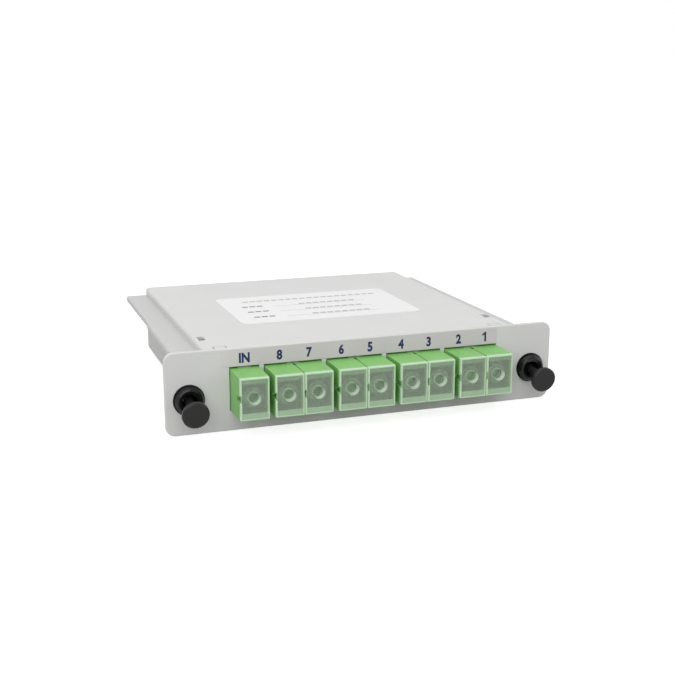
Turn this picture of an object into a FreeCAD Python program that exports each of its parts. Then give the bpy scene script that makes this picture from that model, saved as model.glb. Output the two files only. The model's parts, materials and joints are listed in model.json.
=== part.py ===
"""Plug-in fibre splitter cassette: a folded sheet-metal box with a wide front panel,
five push-fit fibre adapters, nine dust caps and two push-pull panel latches.

Millimetres. +X right and +Z up as seen from the front, +Y towards the back of the box.
The origin is the middle of the bounding box, at the level of its lowest face.
"""
import FreeCAD, Part
import math
import os
import Sketcher
from FreeCAD import Vector

# Driving dimensions, in millimetres, and one angle in degrees.
DIMENSIONS = {
    # front panel
    "panel_ear": 12.9,
    "panel_height": 26.0,
    "panel_thickness": 1.5,
    "panel_corner": 3.0,
    "panel_edge": 0.35,
    # folded box
    "sheet_gauge": 1.0,
    "row_margin": 6.05,
    "box_depth": 103.5,
    "floor_rise": 1.2,
    "cover_drop": 0.65,
    "fold_radius": 1.2,
    "weld_flange": 4.0,
    "flange_gap": 0.4,
    "guide_drop": 3.5,
    "guide_reach": 8.0,
    "guide_lip": 1.9,
    "guide_relief": 0.5,
    "guide_step": 57.0,
    "front_tab_width": 3.6,
    "front_tab_reach": 4.7,
    "front_tab_gap": 0.3,
    "front_tab_place": 46.7,
    "slot_width": 2.2,
    "slot_length": 4.6,
    "slot_inset": 2.4,
    "slot_from_front": 17.8,
    "tab_width": 12.0,
    "tab_drop": 9.0,
    "screw_spacing": 70.0,
    "screw_below_cover": 5.0,
    "screw_radius": 1.2,
    "screw_clearance": 0.05,
    "screw_head_radius": 2.4,
    "screw_head_height": 1.4,
    "screw_length": 5.0,
    # printed film and label
    "film_thickness": 0.15,
    "strip_margin": 2.5,
    "strip_top_margin": 0.4,
    "label_width": 64.6,
    "label_depth": 41.6,
    "label_from_front": 32.4,
    "label_corner": 2.5,
    # adapter row
    "port_pitch": 9.25,
    "adapter_width": 9.1,
    "adapter_height": 13.1,
    "adapter_front": 11.0,
    "adapter_rear": 15.0,
    "side_clearance": 0.2,
    "seat_clearance": 0.15,
    "cutout_bottom": 6.4,
    "cutout_slack": 0.55,
    "cutout_web": 1.4,
    "ear_reach": 1.2,
    "ear_thickness": 2.0,
    "cavity_width": 7.5,
    "cavity_height": 9.2,
    "middle_wall": 1.6,
    "holder_radius": 3.0,
    "holder_length": 5.4,
    "holder_lip": 0.4,
    "key_height": 1.6,
    "key_length": 3.0,
    "groove_width": 0.25,
    "groove_depth": 0.35,
    "top_notch_width": 0.7,
    "top_notch_length": 2.2,
    "top_notch_depth": 0.5,
    # spring clip
    "clip_gauge": 0.3,
    "clip_width": 4.0,
    "clip_front": 0.3,
    "clip_band": 4.0,
    "clip_back": 9.0,
    # alignment sleeve
    "ferrule_radius": 1.25,
    "sleeve_wall": 0.4,
    "sleeve_clearance": 0.08,
    "sleeve_slit": 0.5,
    # dust cap
    "cap_flange": 1.1,
    "cap_clearance": 0.05,
    "cap_plug_clearance": 0.1,
    "cap_plug_length": 7.5,
    "cap_bore_depth": 5.0,
    "cap_bore_clearance": 0.2,
    "cap_recess_radius": 1.95,
    "cap_recess_floor": 1.25,
    "cap_recess_depth": 2.2,
    "cap_edge": 0.3,
    "cap_notch_depth": 0.45,
    "cap_notch_height": 2.4,
    # rear connector
    "plug_clearance": 0.1,
    "plug_gap": 1.2,
    "ferrule_clearance": 0.01,
    "grip_width": 8.6,
    "grip_height": 10.2,
    "grip_length": 10.0,
    "grip_edge": 0.8,
    "boot_length": 11.0,
    "boot_root_radius": 3.2,
    "boot_tip_radius": 1.3,
    # splitter case and fibres
    "case_length": 42.0,
    "case_thickness": 4.4,
    "case_height": 8.8,
    "fibre_radius": 0.45,
    "fibre_spacing": 1.0,
    "fibre_bend": 11.0,
    "fibre_slope": 13.0,
    "fibre_wall_gap": 3.6,
    "fibre_lead_in": 4.0,
    # push-pull latches
    "latch_from_box": 5.6,
    "latch_height": 11.0,
    "latch_bore": 2.25,
    "latch_play": 0.08,
    "latch_barrel": 2.8,
    "latch_shoulder": 3.1,
    "latch_hole_clearance": 0.05,
    "latch_barrel_length": 8.0,
    "latch_slit": 0.7,
    "latch_slit_length": 4.5,
    "latch_slit_turn": 45.0,
    "collar_radius": 4.5,
    "collar_rim": 0.4,
    "collar_rim_height": 0.35,
    "collar_height": 2.3,
    "collar_mouth": 2.4,
    "plunger_radius": 1.42,
    "plunger_inside": 7.8,
    "knob_reach": 10.45,
    "knob_radius": 4.15,
    "knob_thickness": 1.5,
    "knob_cone": 1.8,
    "knob_edge": 0.35,
}

SHEET_NAME = "Dims"
DUPLEX_COUNT = 4
PORTS_BEHIND_DUPLEX = 2
OUTPUT_COUNT = DUPLEX_COUNT * PORTS_BEHIND_DUPLEX
THROUGH_ALL = 1
SWEEP_TOLERANCE = 0.002
PLACE_TOLERANCE = 1e-4
SEED_CENTRE = 2
SEED_TURN = 1

# Shares of a latch collar's height at which its dome starts, turns over and meets the mouth.
COLLAR_SIDE = 0.5
COLLAR_SHOULDER = 0.88
COLLAR_LIP = 0.8

document = FreeCAD.newDocument("SplitterCassette")


def dim(name):
    """Expression that reads one driving dimension."""
    if name not in DIMENSIONS:
        raise KeyError(name)
    return f"{SHEET_NAME}.{name}"


def fill_sheet():
    """Put every driving dimension in its own named cell."""
    sheet = document.addObject("Spreadsheet::Sheet", SHEET_NAME)
    for row, (name, value) in enumerate(DIMENSIONS.items(), start=1):
        sheet.set(f"A{row}", name)
        sheet.set(f"B{row}", str(value))
        sheet.setAlias(f"B{row}", name)
    document.recompute()
    return sheet


sheet = fill_sheet()


def size(name):
    """Value of one driving dimension, for the shapes that Part's functions make."""
    return float(sheet.get(name))


def single_cutout():
    """Width of the single adapter's cut-out."""
    return size("adapter_width") + 2 * size("side_clearance")


def cutout_step():
    """Distance from one double cut-out to the next."""
    return single_cutout() + size("port_pitch") + size("cutout_web")


def row_width():
    """Width of the whole row of cut-outs."""
    return single_cutout() + DUPLEX_COUNT * cutout_step()


def half_inside():
    """Distance from the middle of the box to the inner face of a side wall."""
    return row_width() / 2 + size("row_margin")


def input_across():
    """Place across the panel of the input port."""
    return (single_cutout() - row_width()) / 2


def output_across(number):
    """Place across the panel of an output port, counted from the left."""
    first = input_across() + single_cutout() + size("cutout_web")
    pair, side = divmod(number, PORTS_BEHIND_DUPLEX)
    return first + pair * cutout_step() + side * size("port_pitch")


def case_across():
    """Place of the splitter case, midway between the columns of fibre that bend into its ends."""
    return (input_across() + output_across(OUTPUT_COUNT - 2)) / 2


# Places worked out from the driving dimensions, as expressions.
SINGLE_CUTOUT = f"({dim('adapter_width')} + 2 * {dim('side_clearance')})"
DOUBLE_CUTOUT = f"({SINGLE_CUTOUT} + {dim('port_pitch')})"
CUTOUT_STEP = f"({DOUBLE_CUTOUT} + {dim('cutout_web')})"
ROW_WIDTH = f"({SINGLE_CUTOUT} + {DUPLEX_COUNT} * {CUTOUT_STEP})"
SINGLE_PLACE = f"(({SINGLE_CUTOUT} - {ROW_WIDTH}) / 2)"
HALF_INSIDE = f"({ROW_WIDTH} / 2 + {dim('row_margin')})"
HALF_BOX = f"({HALF_INSIDE} + {dim('sheet_gauge')})"
HALF_PANEL = f"({HALF_BOX} + {dim('panel_ear')})"
LATCH_PLACE = f"({HALF_BOX} + {dim('latch_from_box')})"
FLOOR_UNDER = dim("floor_rise")
FLOOR_TOP = f"({dim('floor_rise')} + {dim('sheet_gauge')})"
COVER_TOP = f"({dim('panel_height')} - {dim('cover_drop')})"
COVER_UNDER = f"({COVER_TOP} - {dim('sheet_gauge')})"
GUIDE_TOP = f"({dim('panel_height')} - {dim('guide_drop')})"
GUIDE_UNDER = f"({GUIDE_TOP} - {dim('sheet_gauge')})"
LIP_UNDER = f"({GUIDE_TOP} - {dim('guide_lip')})"
GUIDE_OUTER = f"({HALF_BOX} + {dim('guide_reach')})"
GUIDE_INNER = f"({GUIDE_OUTER} - {dim('sheet_gauge')})"
PANEL_BACK = dim("panel_thickness")
BOX_BACK = f"({PANEL_BACK} + {dim('box_depth')})"
WALL_FRONT = f"({BOX_BACK} - {dim('sheet_gauge')})"
REAR_REACH = f"({BOX_BACK} + {dim('screw_head_height')})"
SCREW_LEVEL = f"({COVER_UNDER} - {dim('screw_below_cover')})"

ADAPTER_BOTTOM = f"({dim('cutout_bottom')} + {dim('seat_clearance')})"
PORT_LEVEL = f"({ADAPTER_BOTTOM} + {dim('adapter_height')} / 2)"
CUTOUT_HEIGHT = f"({dim('seat_clearance')} + {dim('adapter_height')} + {dim('cutout_slack')})"
CUTOUT_TOP = f"({dim('cutout_bottom')} + {CUTOUT_HEIGHT})"
ADAPTER_MIDDLE = f"(({dim('adapter_rear')} - {dim('adapter_front')}) / 2)"
HOLDER_HALF = f"({dim('middle_wall')} / 2 + {dim('holder_length')})"
SLEEVE_RADIUS = f"({dim('ferrule_radius')} + {dim('sleeve_wall')})"
SLEEVE_BORE = f"({SLEEVE_RADIUS} + {dim('sleeve_clearance')})"
SLEEVE_HALF = f"({HOLDER_HALF} - {dim('holder_lip')} - {dim('sleeve_clearance')})"
CAP_BACK = f"(-{dim('adapter_front')} - {dim('cap_clearance')})"
CAP_FACE = f"({CAP_BACK} - {dim('cap_flange')})"
PANEL_PLACE = f"((max({dim('knob_reach')}; -{CAP_FACE}) - {REAR_REACH}) / 2)"
PLUG_WIDTH = f"({dim('cavity_width')} - 2 * {dim('plug_clearance')})"
PLUG_HEIGHT = f"({dim('cavity_height')} - 2 * {dim('plug_clearance')})"
PLUG_FRONT = f"({ADAPTER_MIDDLE} + {dim('middle_wall')} / 2 + {dim('plug_gap')})"
GRIP_FRONT = f"({dim('adapter_rear')} + {dim('cap_clearance')})"
GRIP_BACK = f"({GRIP_FRONT} + {dim('grip_length')})"
BOOT_BACK = f"({GRIP_BACK} + {dim('boot_length')})"
LATCH_MIDDLE = f"(({dim('latch_barrel_length')} - {dim('collar_height')}) / 2)"
LATCH_HALF = f"(({dim('latch_barrel_length')} + {dim('collar_height')}) / 2)"
LATCH_SLACK = f"({dim('latch_bore')} - {dim('latch_play')} - {dim('plunger_radius')})"
LATCH_DROOP = f"atan({LATCH_SLACK} / {LATCH_HALF})"


def duplex_place(index):
    """Place across the panel of one duplex adapter, counted from the left."""
    first = f"({SINGLE_PLACE} + ({SINGLE_CUTOUT} + {DOUBLE_CUTOUT}) / 2 + {dim('cutout_web')})"
    return f"({first} + {index} * {CUTOUT_STEP})"


def output_place(index):
    """Place across the panel of one output port, counted from the left."""
    side = (index % PORTS_BEHIND_DUPLEX) - 0.5
    return f"({duplex_place(index // PORTS_BEHIND_DUPLEX)} + {side} * {dim('port_pitch')})"


# ---------------------------------------------------------------- building helpers

def new_body(name, across="0", level="0"):
    """PartDesign body that stands at a place across and above the panel's bottom middle."""
    body = document.addObject("PartDesign::Body", name)
    body.Label = name
    body.setExpression("Placement.Base.x", across)
    body.setExpression("Placement.Base.y", PANEL_PLACE)
    body.setExpression("Placement.Base.z", level)
    return body


def droop(body, depth, angle):
    """Turn a body about a level axis that lies at a depth behind the panel's front face."""
    body.Placement = FreeCAD.Placement(Vector(), FreeCAD.Rotation(Vector(1, 0, 0), SEED_TURN))
    body.setExpression("Placement.Base.y", f"{PANEL_PLACE} + {depth}")
    body.setExpression("Placement.Rotation.Angle", angle)


def new_sketch(body, name, role, height="0"):
    """Sketch on one of the body's own origin planes, moved along its normal."""
    sketch = body.newObject("Sketcher::SketchObject", name)
    plane = next(item for item in body.Origin.OriginFeatures if item.Role == role)
    sketch.AttachmentSupport = [(plane, "")]
    sketch.MapMode = "FlatFace"
    sketch.setExpression("AttachmentOffset.Base.z", height)
    return sketch


def front_sketch(body, name, depth="0"):
    """Sketch seen from the front, at a depth behind the panel's front face."""
    return new_sketch(body, name, "XZ_Plane", f"-({depth})")


def top_sketch(body, name, height="0"):
    """Sketch seen from above, at a height."""
    return new_sketch(body, name, "XY_Plane", height)


def bind(sketch, kind, element, point, value, expression):
    """Hold one corner or centre at a distance from the sketch's origin."""
    number = sketch.addConstraint(Sketcher.Constraint(kind, -1, 1, element, point, value))
    sketch.setExpression(f"Constraints[{number}]", expression)


def seed_corner(index, count):
    """Starting place of a corner, before its distances move it."""
    turn = 2 * math.pi * index / count
    return Vector(SEED_CENTRE + math.cos(turn), SEED_CENTRE + math.sin(turn), 0)


def add_outline(sketch, corners):
    """Closed outline of straight edges through corners given as expressions."""
    first = sketch.GeometryCount
    count = len(corners)
    for index in range(count):
        start = seed_corner(index, count)
        end = seed_corner(index + 1, count)
        sketch.addGeometry(Part.LineSegment(start, end), False)
    for index, (across, along) in enumerate(corners):
        before = first + (index - 1) % count
        here = first + index
        seed = seed_corner(index, count)
        sketch.addConstraint(Sketcher.Constraint("Coincident", before, 2, here, 1))
        bind(sketch, "DistanceX", here, 1, seed.x, across)
        bind(sketch, "DistanceY", here, 1, seed.y, along)


def add_rectangle(sketch, left, right, bottom, top):
    """Rectangle between four distances."""
    add_outline(sketch, [(left, bottom), (right, bottom), (right, top), (left, top)])


def add_centred(sketch, across, along, width, height):
    """Rectangle about a centre."""
    left = f"{across} - {width} / 2"
    right = f"{across} + {width} / 2"
    bottom = f"{along} - {height} / 2"
    top = f"{along} + {height} / 2"
    add_rectangle(sketch, left, right, bottom, top)


def add_circle(sketch, across, along, radius):
    """Circle about a centre."""
    circle = Part.Circle(Vector(1, 1, 0), Vector(0, 0, 1), 1)
    element = sketch.addGeometry(circle, False)
    bind(sketch, "DistanceX", element, 3, 1.0, across)
    bind(sketch, "DistanceY", element, 3, 1.0, along)
    number = sketch.addConstraint(Sketcher.Constraint("Radius", element, 1.0))
    sketch.setExpression(f"Constraints[{number}]", radius)


def pad(body, sketch, length, along_normal=True):
    """Pad a sketch; a front sketch's normal points out of the panel, towards -Y."""
    feature = body.newObject("PartDesign::Pad", f"{sketch.Name}_pad")
    feature.Profile = sketch
    feature.setExpression("Length", length)
    feature.Reversed = not along_normal
    document.recompute()
    return feature


def pocket(body, sketch, length=None, along_normal=False, both_ways=False, draft=None):
    """Cut a sketch away, right through when no length is given, and check that it cuts."""
    before = body.Shape.Volume
    feature = body.newObject("PartDesign::Pocket", f"{sketch.Name}_cut")
    feature.Profile = sketch
    feature.Midplane = both_ways
    if length is None:
        feature.Type = THROUGH_ALL
    else:
        feature.setExpression("Length", length)
    if draft is not None:
        feature.setExpression("TaperAngle", draft)
    feature.Reversed = along_normal
    document.recompute()
    if not body.Shape.Volume < before:
        raise RuntimeError(f"{feature.Name} cuts nothing")
    return feature


def revolve(body, sketch):
    """Turn a sketch drawn from above about its own vertical axis."""
    feature = body.newObject("PartDesign::Revolution", f"{sketch.Name}_turned")
    feature.Profile = sketch
    feature.ReferenceAxis = (sketch, ["V_Axis"])
    feature.Angle = 360.0
    document.recompute()
    return feature


def round_edges(body, name, radius, wanted):
    """Fillet the edges of the body that a test picks."""
    base = body.Tip
    names = [f"Edge{number}" for number, edge in enumerate(base.Shape.Edges, start=1)
             if wanted(edge)]
    if not names:
        raise RuntimeError(f"{name} finds no edge")
    feature = body.newObject("PartDesign::Fillet", name)
    feature.Base = (base, names)
    feature.setExpression("Radius", radius)
    document.recompute()
    return feature


def runs_along(edge, axis):
    """True for a straight edge that runs along one axis of its body."""
    if not isinstance(edge.Curve, Part.Line):
        return False
    direction = edge.Vertexes[-1].Point - edge.Vertexes[0].Point
    others = [abs(direction[other]) for other in range(3) if other != axis]
    return max(others) < PLACE_TOLERANCE


def lies_at(edge, axis, value):
    """True for an edge whose whole length is at one coordinate."""
    box = edge.BoundBox
    low = (box.XMin, box.YMin, box.ZMin)[axis]
    high = (box.XMax, box.YMax, box.ZMax)[axis]
    return abs(low - value) < PLACE_TOLERANCE and abs(high - value) < PLACE_TOLERANCE


def near(value, place):
    """True where two distances agree."""
    return abs(value - place) < PLACE_TOLERANCE


# ---------------------------------------------------------------- sheet metal

def make_front_panel():
    """Wide panel with five adapter cut-outs, two latch holes and two tabs into the cover."""
    body = new_body("front_panel")
    plate = front_sketch(body, "panel_plate")
    add_rectangle(plate, f"-{HALF_PANEL}", HALF_PANEL, "0", dim("panel_height"))
    pad(body, plate, PANEL_BACK, along_normal=False)
    round_edges(body, "panel_corners", dim("panel_corner"), lambda edge: runs_along(edge, 1))
    thickness = size("panel_thickness")
    round_edges(body, "panel_soft_edge", dim("panel_edge"),
                lambda edge: lies_at(edge, 1, 0) or lies_at(edge, 1, thickness))
    tabs = front_sketch(body, "cover_tabs", PANEL_BACK)
    for side in ("-", ""):
        middle = f"({side}{dim('front_tab_place')})"
        level = f"({COVER_TOP} + {COVER_UNDER}) / 2"
        add_centred(tabs, middle, level, dim("front_tab_width"), dim("sheet_gauge"))
    pad(body, tabs, dim("front_tab_reach"), along_normal=False)
    cutouts = front_sketch(body, "adapter_cutouts")
    middle = f"({dim('cutout_bottom')} + {CUTOUT_HEIGHT} / 2)"
    add_centred(cutouts, SINGLE_PLACE, middle, SINGLE_CUTOUT, CUTOUT_HEIGHT)
    for index in range(DUPLEX_COUNT):
        place = duplex_place(index)
        add_centred(cutouts, place, middle, DOUBLE_CUTOUT, CUTOUT_HEIGHT)
    pocket(body, cutouts)
    holes = front_sketch(body, "latch_holes")
    radius = f"{dim('latch_shoulder')} + {dim('latch_hole_clearance')}"
    for side in ("-", ""):
        add_circle(holes, f"{side}{LATCH_PLACE}", dim("latch_height"), radius)
    pocket(body, holes)


def make_base_pan():
    """Folded pan: floor, side walls, rear wall and a guide flange along each side."""
    body = new_body("base_pan")
    section = front_sketch(body, "pan_section", PANEL_BACK)
    right = [
        (HALF_BOX, FLOOR_UNDER),
        (HALF_BOX, GUIDE_UNDER),
        (GUIDE_INNER, GUIDE_UNDER),
        (GUIDE_INNER, LIP_UNDER),
        (GUIDE_OUTER, LIP_UNDER),
        (GUIDE_OUTER, GUIDE_TOP),
        (HALF_INSIDE, GUIDE_TOP),
        (HALF_INSIDE, FLOOR_TOP),
    ]
    left = [(f"-{across}", level) for across, level in reversed(right)]
    add_outline(section, right + left)
    pad(body, section, dim("box_depth"), along_normal=False)
    half = half_inside() + size("sheet_gauge")
    fold_places = (half, half + size("guide_reach"))
    fold_levels = (size("floor_rise"), size("panel_height") - size("guide_drop"))

    def is_outer_fold(edge):
        point = edge.Vertexes[0].Point
        return runs_along(edge, 1) and any(
            near(abs(point.x), across) and near(point.z, level)
            for across, level in zip(fold_places, fold_levels))

    round_edges(body, "pan_folds", dim("fold_radius"), is_outer_fold)
    wall = front_sketch(body, "rear_wall", WALL_FRONT)
    add_rectangle(wall, f"-{HALF_INSIDE}", HALF_INSIDE, FLOOR_TOP, COVER_UNDER)
    pad(body, wall, dim("sheet_gauge"), along_normal=False)
    flanges = front_sketch(body, "weld_flanges", PANEL_BACK)
    floor_top = f"({dim('cutout_bottom')} - {dim('ear_reach')} - {dim('flange_gap')})"
    add_outline(flanges, [
        (f"-{HALF_INSIDE}", FLOOR_TOP),
        (HALF_INSIDE, FLOOR_TOP),
        (HALF_INSIDE, GUIDE_TOP),
        (f"({HALF_INSIDE} - {dim('weld_flange')})", GUIDE_TOP),
        (f"({HALF_INSIDE} - {dim('weld_flange')})", floor_top),
        (f"-({HALF_INSIDE} - {dim('weld_flange')})", floor_top),
        (f"-({HALF_INSIDE} - {dim('weld_flange')})", GUIDE_TOP),
        (f"-{HALF_INSIDE}", GUIDE_TOP),
    ])
    pad(body, flanges, dim("sheet_gauge"), along_normal=False)
    relief = front_sketch(body, "guide_relief_cut", dim("guide_step"))
    inner = f"({GUIDE_OUTER} - {dim('guide_relief')})"
    beyond = f"({GUIDE_OUTER} + {dim('sheet_gauge')})"
    above = f"({GUIDE_TOP} + {dim('sheet_gauge')})"
    below = f"({LIP_UNDER} - {dim('sheet_gauge')})"
    add_rectangle(relief, inner, beyond, below, above)
    add_rectangle(relief, f"-{beyond}", f"-{inner}", below, above)
    pocket(body, relief)
    holes = front_sketch(body, "rear_screw_holes", WALL_FRONT)
    radius = f"{dim('screw_radius')} + 2 * {dim('screw_clearance')}"
    for side in ("-", ""):
        add_circle(holes, f"{side}{dim('screw_spacing')} / 2", SCREW_LEVEL, radius)
    pocket(body, holes)


def make_top_cover():
    """Cover with short side skirts, notches for the panel's tabs, slots and screw tabs."""
    body = new_body("top_cover")
    section = front_sketch(body, "cover_section", PANEL_BACK)
    right = [
        (HALF_INSIDE, COVER_UNDER),
        (HALF_INSIDE, GUIDE_TOP),
        (HALF_BOX, GUIDE_TOP),
        (HALF_BOX, COVER_TOP),
    ]
    left = [(f"-{across}", level) for across, level in reversed(right)]
    add_outline(section, right + left)
    pad(body, section, dim("box_depth"), along_normal=False)
    half = half_inside() + size("sheet_gauge")
    top = size("panel_height") - size("cover_drop")

    def is_top_fold(edge):
        point = edge.Vertexes[0].Point
        return runs_along(edge, 1) and near(abs(point.x), half) and near(point.z, top)

    round_edges(body, "cover_folds", dim("fold_radius"), is_top_fold)
    tabs = front_sketch(body, "rear_tabs", f"({WALL_FRONT} - {dim('sheet_gauge')})")
    holes = front_sketch(body, "rear_tab_holes", f"({WALL_FRONT} - {dim('sheet_gauge')})")
    radius = f"{dim('screw_radius')} + {dim('screw_clearance')}"
    for side in ("-", ""):
        middle = f"({side}{dim('screw_spacing')} / 2)"
        half_tab = f"{dim('tab_width')} / 2"
        low = f"({COVER_UNDER} - {dim('tab_drop')})"
        add_rectangle(tabs, f"{middle} - {half_tab}", f"{middle} + {half_tab}", low, COVER_UNDER)
        add_circle(holes, middle, SCREW_LEVEL, radius)
    pad(body, tabs, dim("sheet_gauge"), along_normal=False)
    pocket(body, holes)
    notches = top_sketch(body, "front_notches", COVER_TOP)
    notch_back = f"{PANEL_BACK} + {dim('front_tab_reach')} + {dim('front_tab_gap')}"
    for side in ("-", ""):
        middle = f"({side}{dim('front_tab_place')})"
        half_notch = f"({dim('front_tab_width')} / 2 + {dim('front_tab_gap')})"
        add_rectangle(notches, f"{middle} - {half_notch}", f"{middle} + {half_notch}",
                      PANEL_BACK, notch_back)
    pocket(body, notches, f"2 * {dim('sheet_gauge')}")
    slots = top_sketch(body, "cover_slots", COVER_TOP)
    for side in ("-", ""):
        across = f"{side}({HALF_BOX} - {dim('slot_inset')})"
        add_centred(slots, across, dim("slot_from_front"), dim("slot_width"), dim("slot_length"))
    pocket(body, slots, f"2 * {dim('sheet_gauge')}")


def make_cover_screws():
    """Two small pan-head screws through the rear wall into the cover's tabs."""
    body = new_body("cover_screws", level=SCREW_LEVEL)
    shank = front_sketch(body, "screw_shanks", f"({REAR_REACH} - {dim('screw_head_height')})")
    head = front_sketch(body, "screw_heads", BOX_BACK)
    for side in ("-", ""):
        across = f"{side}{dim('screw_spacing')} / 2"
        add_circle(shank, across, "0", dim("screw_radius"))
        add_circle(head, across, "0", dim("screw_head_radius"))
    pad(body, shank, dim("screw_length"), along_normal=True)
    pad(body, head, dim("screw_head_height"), along_normal=False)
    back = size("panel_thickness") + size("box_depth") + size("screw_head_height")
    edge_radius = f"{dim('screw_head_height')} / 2"
    round_edges(body, "screw_head_edges", edge_radius, lambda edge: lies_at(edge, 1, back))


# ---------------------------------------------------------------- film and label

def make_number_strip():
    """Printed film above the adapters, on the panel's front face."""
    body = new_body("number_strip")
    film = front_sketch(body, "strip_outline")
    half = f"({ROW_WIDTH} / 2 + {dim('strip_margin')})"
    right = f"{ROW_WIDTH} / 2"
    top = f"{dim('panel_height')} - {dim('strip_top_margin')}"
    add_rectangle(film, f"-{half}", right, f"{CUTOUT_TOP} + {dim('seat_clearance')}", top)
    pad(body, film, dim("film_thickness"), along_normal=True)


def make_top_label():
    """Label with round corners on the cover."""
    body = new_body("top_label")
    label = top_sketch(body, "label_outline", COVER_TOP)
    middle = f"({dim('label_from_front')} + {dim('label_depth')} / 2)"
    add_centred(label, "0", middle, dim("label_width"), dim("label_depth"))
    pad(body, label, dim("film_thickness"))
    round_edges(body, "label_corners", dim("label_corner"), lambda edge: runs_along(edge, 2))


# ---------------------------------------------------------------- adapters and what they hold

def port_offsets(ports):
    """Places of an adapter's ports from its own middle, as expressions."""
    if ports == 1:
        return ["0"]
    return [f"(-{dim('port_pitch')} / 2)", f"({dim('port_pitch')} / 2)"]


def make_adapter(name, across, ports):
    """Adapter with a cavity at each end of each port and a sleeve holder between them."""
    body = new_body(name, across, PORT_LEVEL)
    offsets = port_offsets(ports)
    width = f"({dim('adapter_width')} + {ports - 1} * {dim('port_pitch')})"
    length = f"{dim('adapter_front')} + {dim('adapter_rear')}"
    front = f"-{dim('adapter_front')}"
    block = front_sketch(body, f"{name}_block", front)
    add_centred(block, "0", "0", width, dim("adapter_height"))
    pad(body, block, length, along_normal=False)

    ears = front_sketch(body, f"{name}_ears", PANEL_BACK)
    low = f"{dim('cutout_bottom')} - {dim('ear_reach')} - {PORT_LEVEL}"
    high = f"{CUTOUT_TOP} + {dim('ear_reach')} - {PORT_LEVEL}"
    add_rectangle(ears, f"-{width} / 2", f"{width} / 2", low, high)
    pad(body, ears, dim("ear_thickness"), along_normal=False)

    clip_way = top_sketch(body, f"{name}_clip_way", high)
    half_way = f"({dim('clip_width')} / 2 + {dim('side_clearance')})"
    ear_back = f"{PANEL_BACK} + {dim('ear_thickness')}"
    add_rectangle(clip_way, f"-{half_way}", half_way, PANEL_BACK, ear_back)
    pocket(body, clip_way, f"{high} - {dim('adapter_height')} / 2")

    end_depth = f"{length} - {dim('middle_wall')}"
    cavity = front_sketch(body, f"{name}_front_cavity", front)
    back_cavity = front_sketch(body, f"{name}_rear_cavity", dim("adapter_rear"))
    for offset in offsets:
        add_centred(cavity, offset, "0", dim("cavity_width"), dim("cavity_height"))
        add_centred(back_cavity, offset, "0", dim("cavity_width"), dim("cavity_height"))
    pocket(body, cavity, f"({end_depth}) / 2")
    pocket(body, back_cavity, f"({end_depth}) / 2", along_normal=True)

    holder = front_sketch(body, f"{name}_holder", f"{ADAPTER_MIDDLE} - {HOLDER_HALF}")
    seat = front_sketch(body, f"{name}_sleeve_seat", ADAPTER_MIDDLE)
    mouth = front_sketch(body, f"{name}_ferrule_way", f"{ADAPTER_MIDDLE} - {HOLDER_HALF}")
    seat_length = f"2 * ({HOLDER_HALF} - {dim('holder_lip')})"
    mouth_radius = f"{dim('ferrule_radius')} + 2 * {dim('sleeve_clearance')}"
    for offset in offsets:
        add_circle(holder, offset, "0", dim("holder_radius"))
        add_circle(seat, offset, "0", SLEEVE_BORE)
        add_circle(mouth, offset, "0", mouth_radius)
    pad(body, holder, f"2 * {HOLDER_HALF}", along_normal=False)
    pocket(body, seat, seat_length, both_ways=True)
    pocket(body, mouth)

    key_way = front_sketch(body, f"{name}_key_way", front)
    wall = f"({dim('adapter_width')} - {dim('cavity_width')}) / 2"
    for offset in offsets:
        inner = f"{offset} - {dim('cavity_width')} / 2"
        half_key = f"{dim('key_height')} / 2"
        add_rectangle(key_way, f"{inner} - {wall}", inner, f"-{half_key}", half_key)
    pocket(body, key_way, dim("key_length"))

    if ports > 1:
        groove = front_sketch(body, f"{name}_parting_groove", front)
        for side in ("-", ""):
            surface = f"{side}{dim('adapter_height')} / 2"
            middle = f"{side}({dim('adapter_height')} / 2 - {dim('groove_depth')} / 2)"
            add_centred(groove, "0", middle, dim("groove_width"), dim("groove_depth"))
        pocket(body, groove, dim("adapter_front"))
        notch = top_sketch(body, f"{name}_top_notch", f"{dim('adapter_height')} / 2")
        half_notch = f"{dim('top_notch_width')} / 2"
        add_rectangle(notch, f"-{half_notch}", half_notch, f"-{dim('top_notch_length')}", "0")
        pocket(body, notch, dim("top_notch_depth"))


def make_clip(name, across, ports):
    """Spring clip: a bent band round the adapter behind its ears, with one leg forward."""
    body = new_body(name, across, PORT_LEVEL)
    half_width = f"({dim('adapter_width')} + {ports - 1} * {dim('port_pitch')}) / 2"
    half_height = f"{dim('adapter_height')} / 2"
    gauge = dim("clip_gauge")
    lap = f"{dim('clip_width')} / 2"
    band = front_sketch(body, f"{name}_band", f"{dim('clip_back')} - {dim('clip_band')}")
    add_outline(band, [
        (f"{lap}", half_height),
        (f"{lap}", f"{half_height} + {gauge}"),
        (f"-{half_width} - {gauge}", f"{half_height} + {gauge}"),
        (f"-{half_width} - {gauge}", f"-{half_height} - {gauge}"),
        (f"{lap}", f"-{half_height} - {gauge}"),
        (f"{lap}", f"-{half_height}"),
        (f"-{half_width}", f"-{half_height}"),
        (f"-{half_width}", half_height),
    ])
    pad(body, band, dim("clip_band"), along_normal=False)
    leg = front_sketch(body, f"{name}_leg", dim("clip_front"))
    add_rectangle(leg, f"-{lap}", lap, half_height, f"{half_height} + {gauge}")
    pad(body, leg, f"{dim('clip_back')} - {dim('clip_front')}", along_normal=False)


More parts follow.
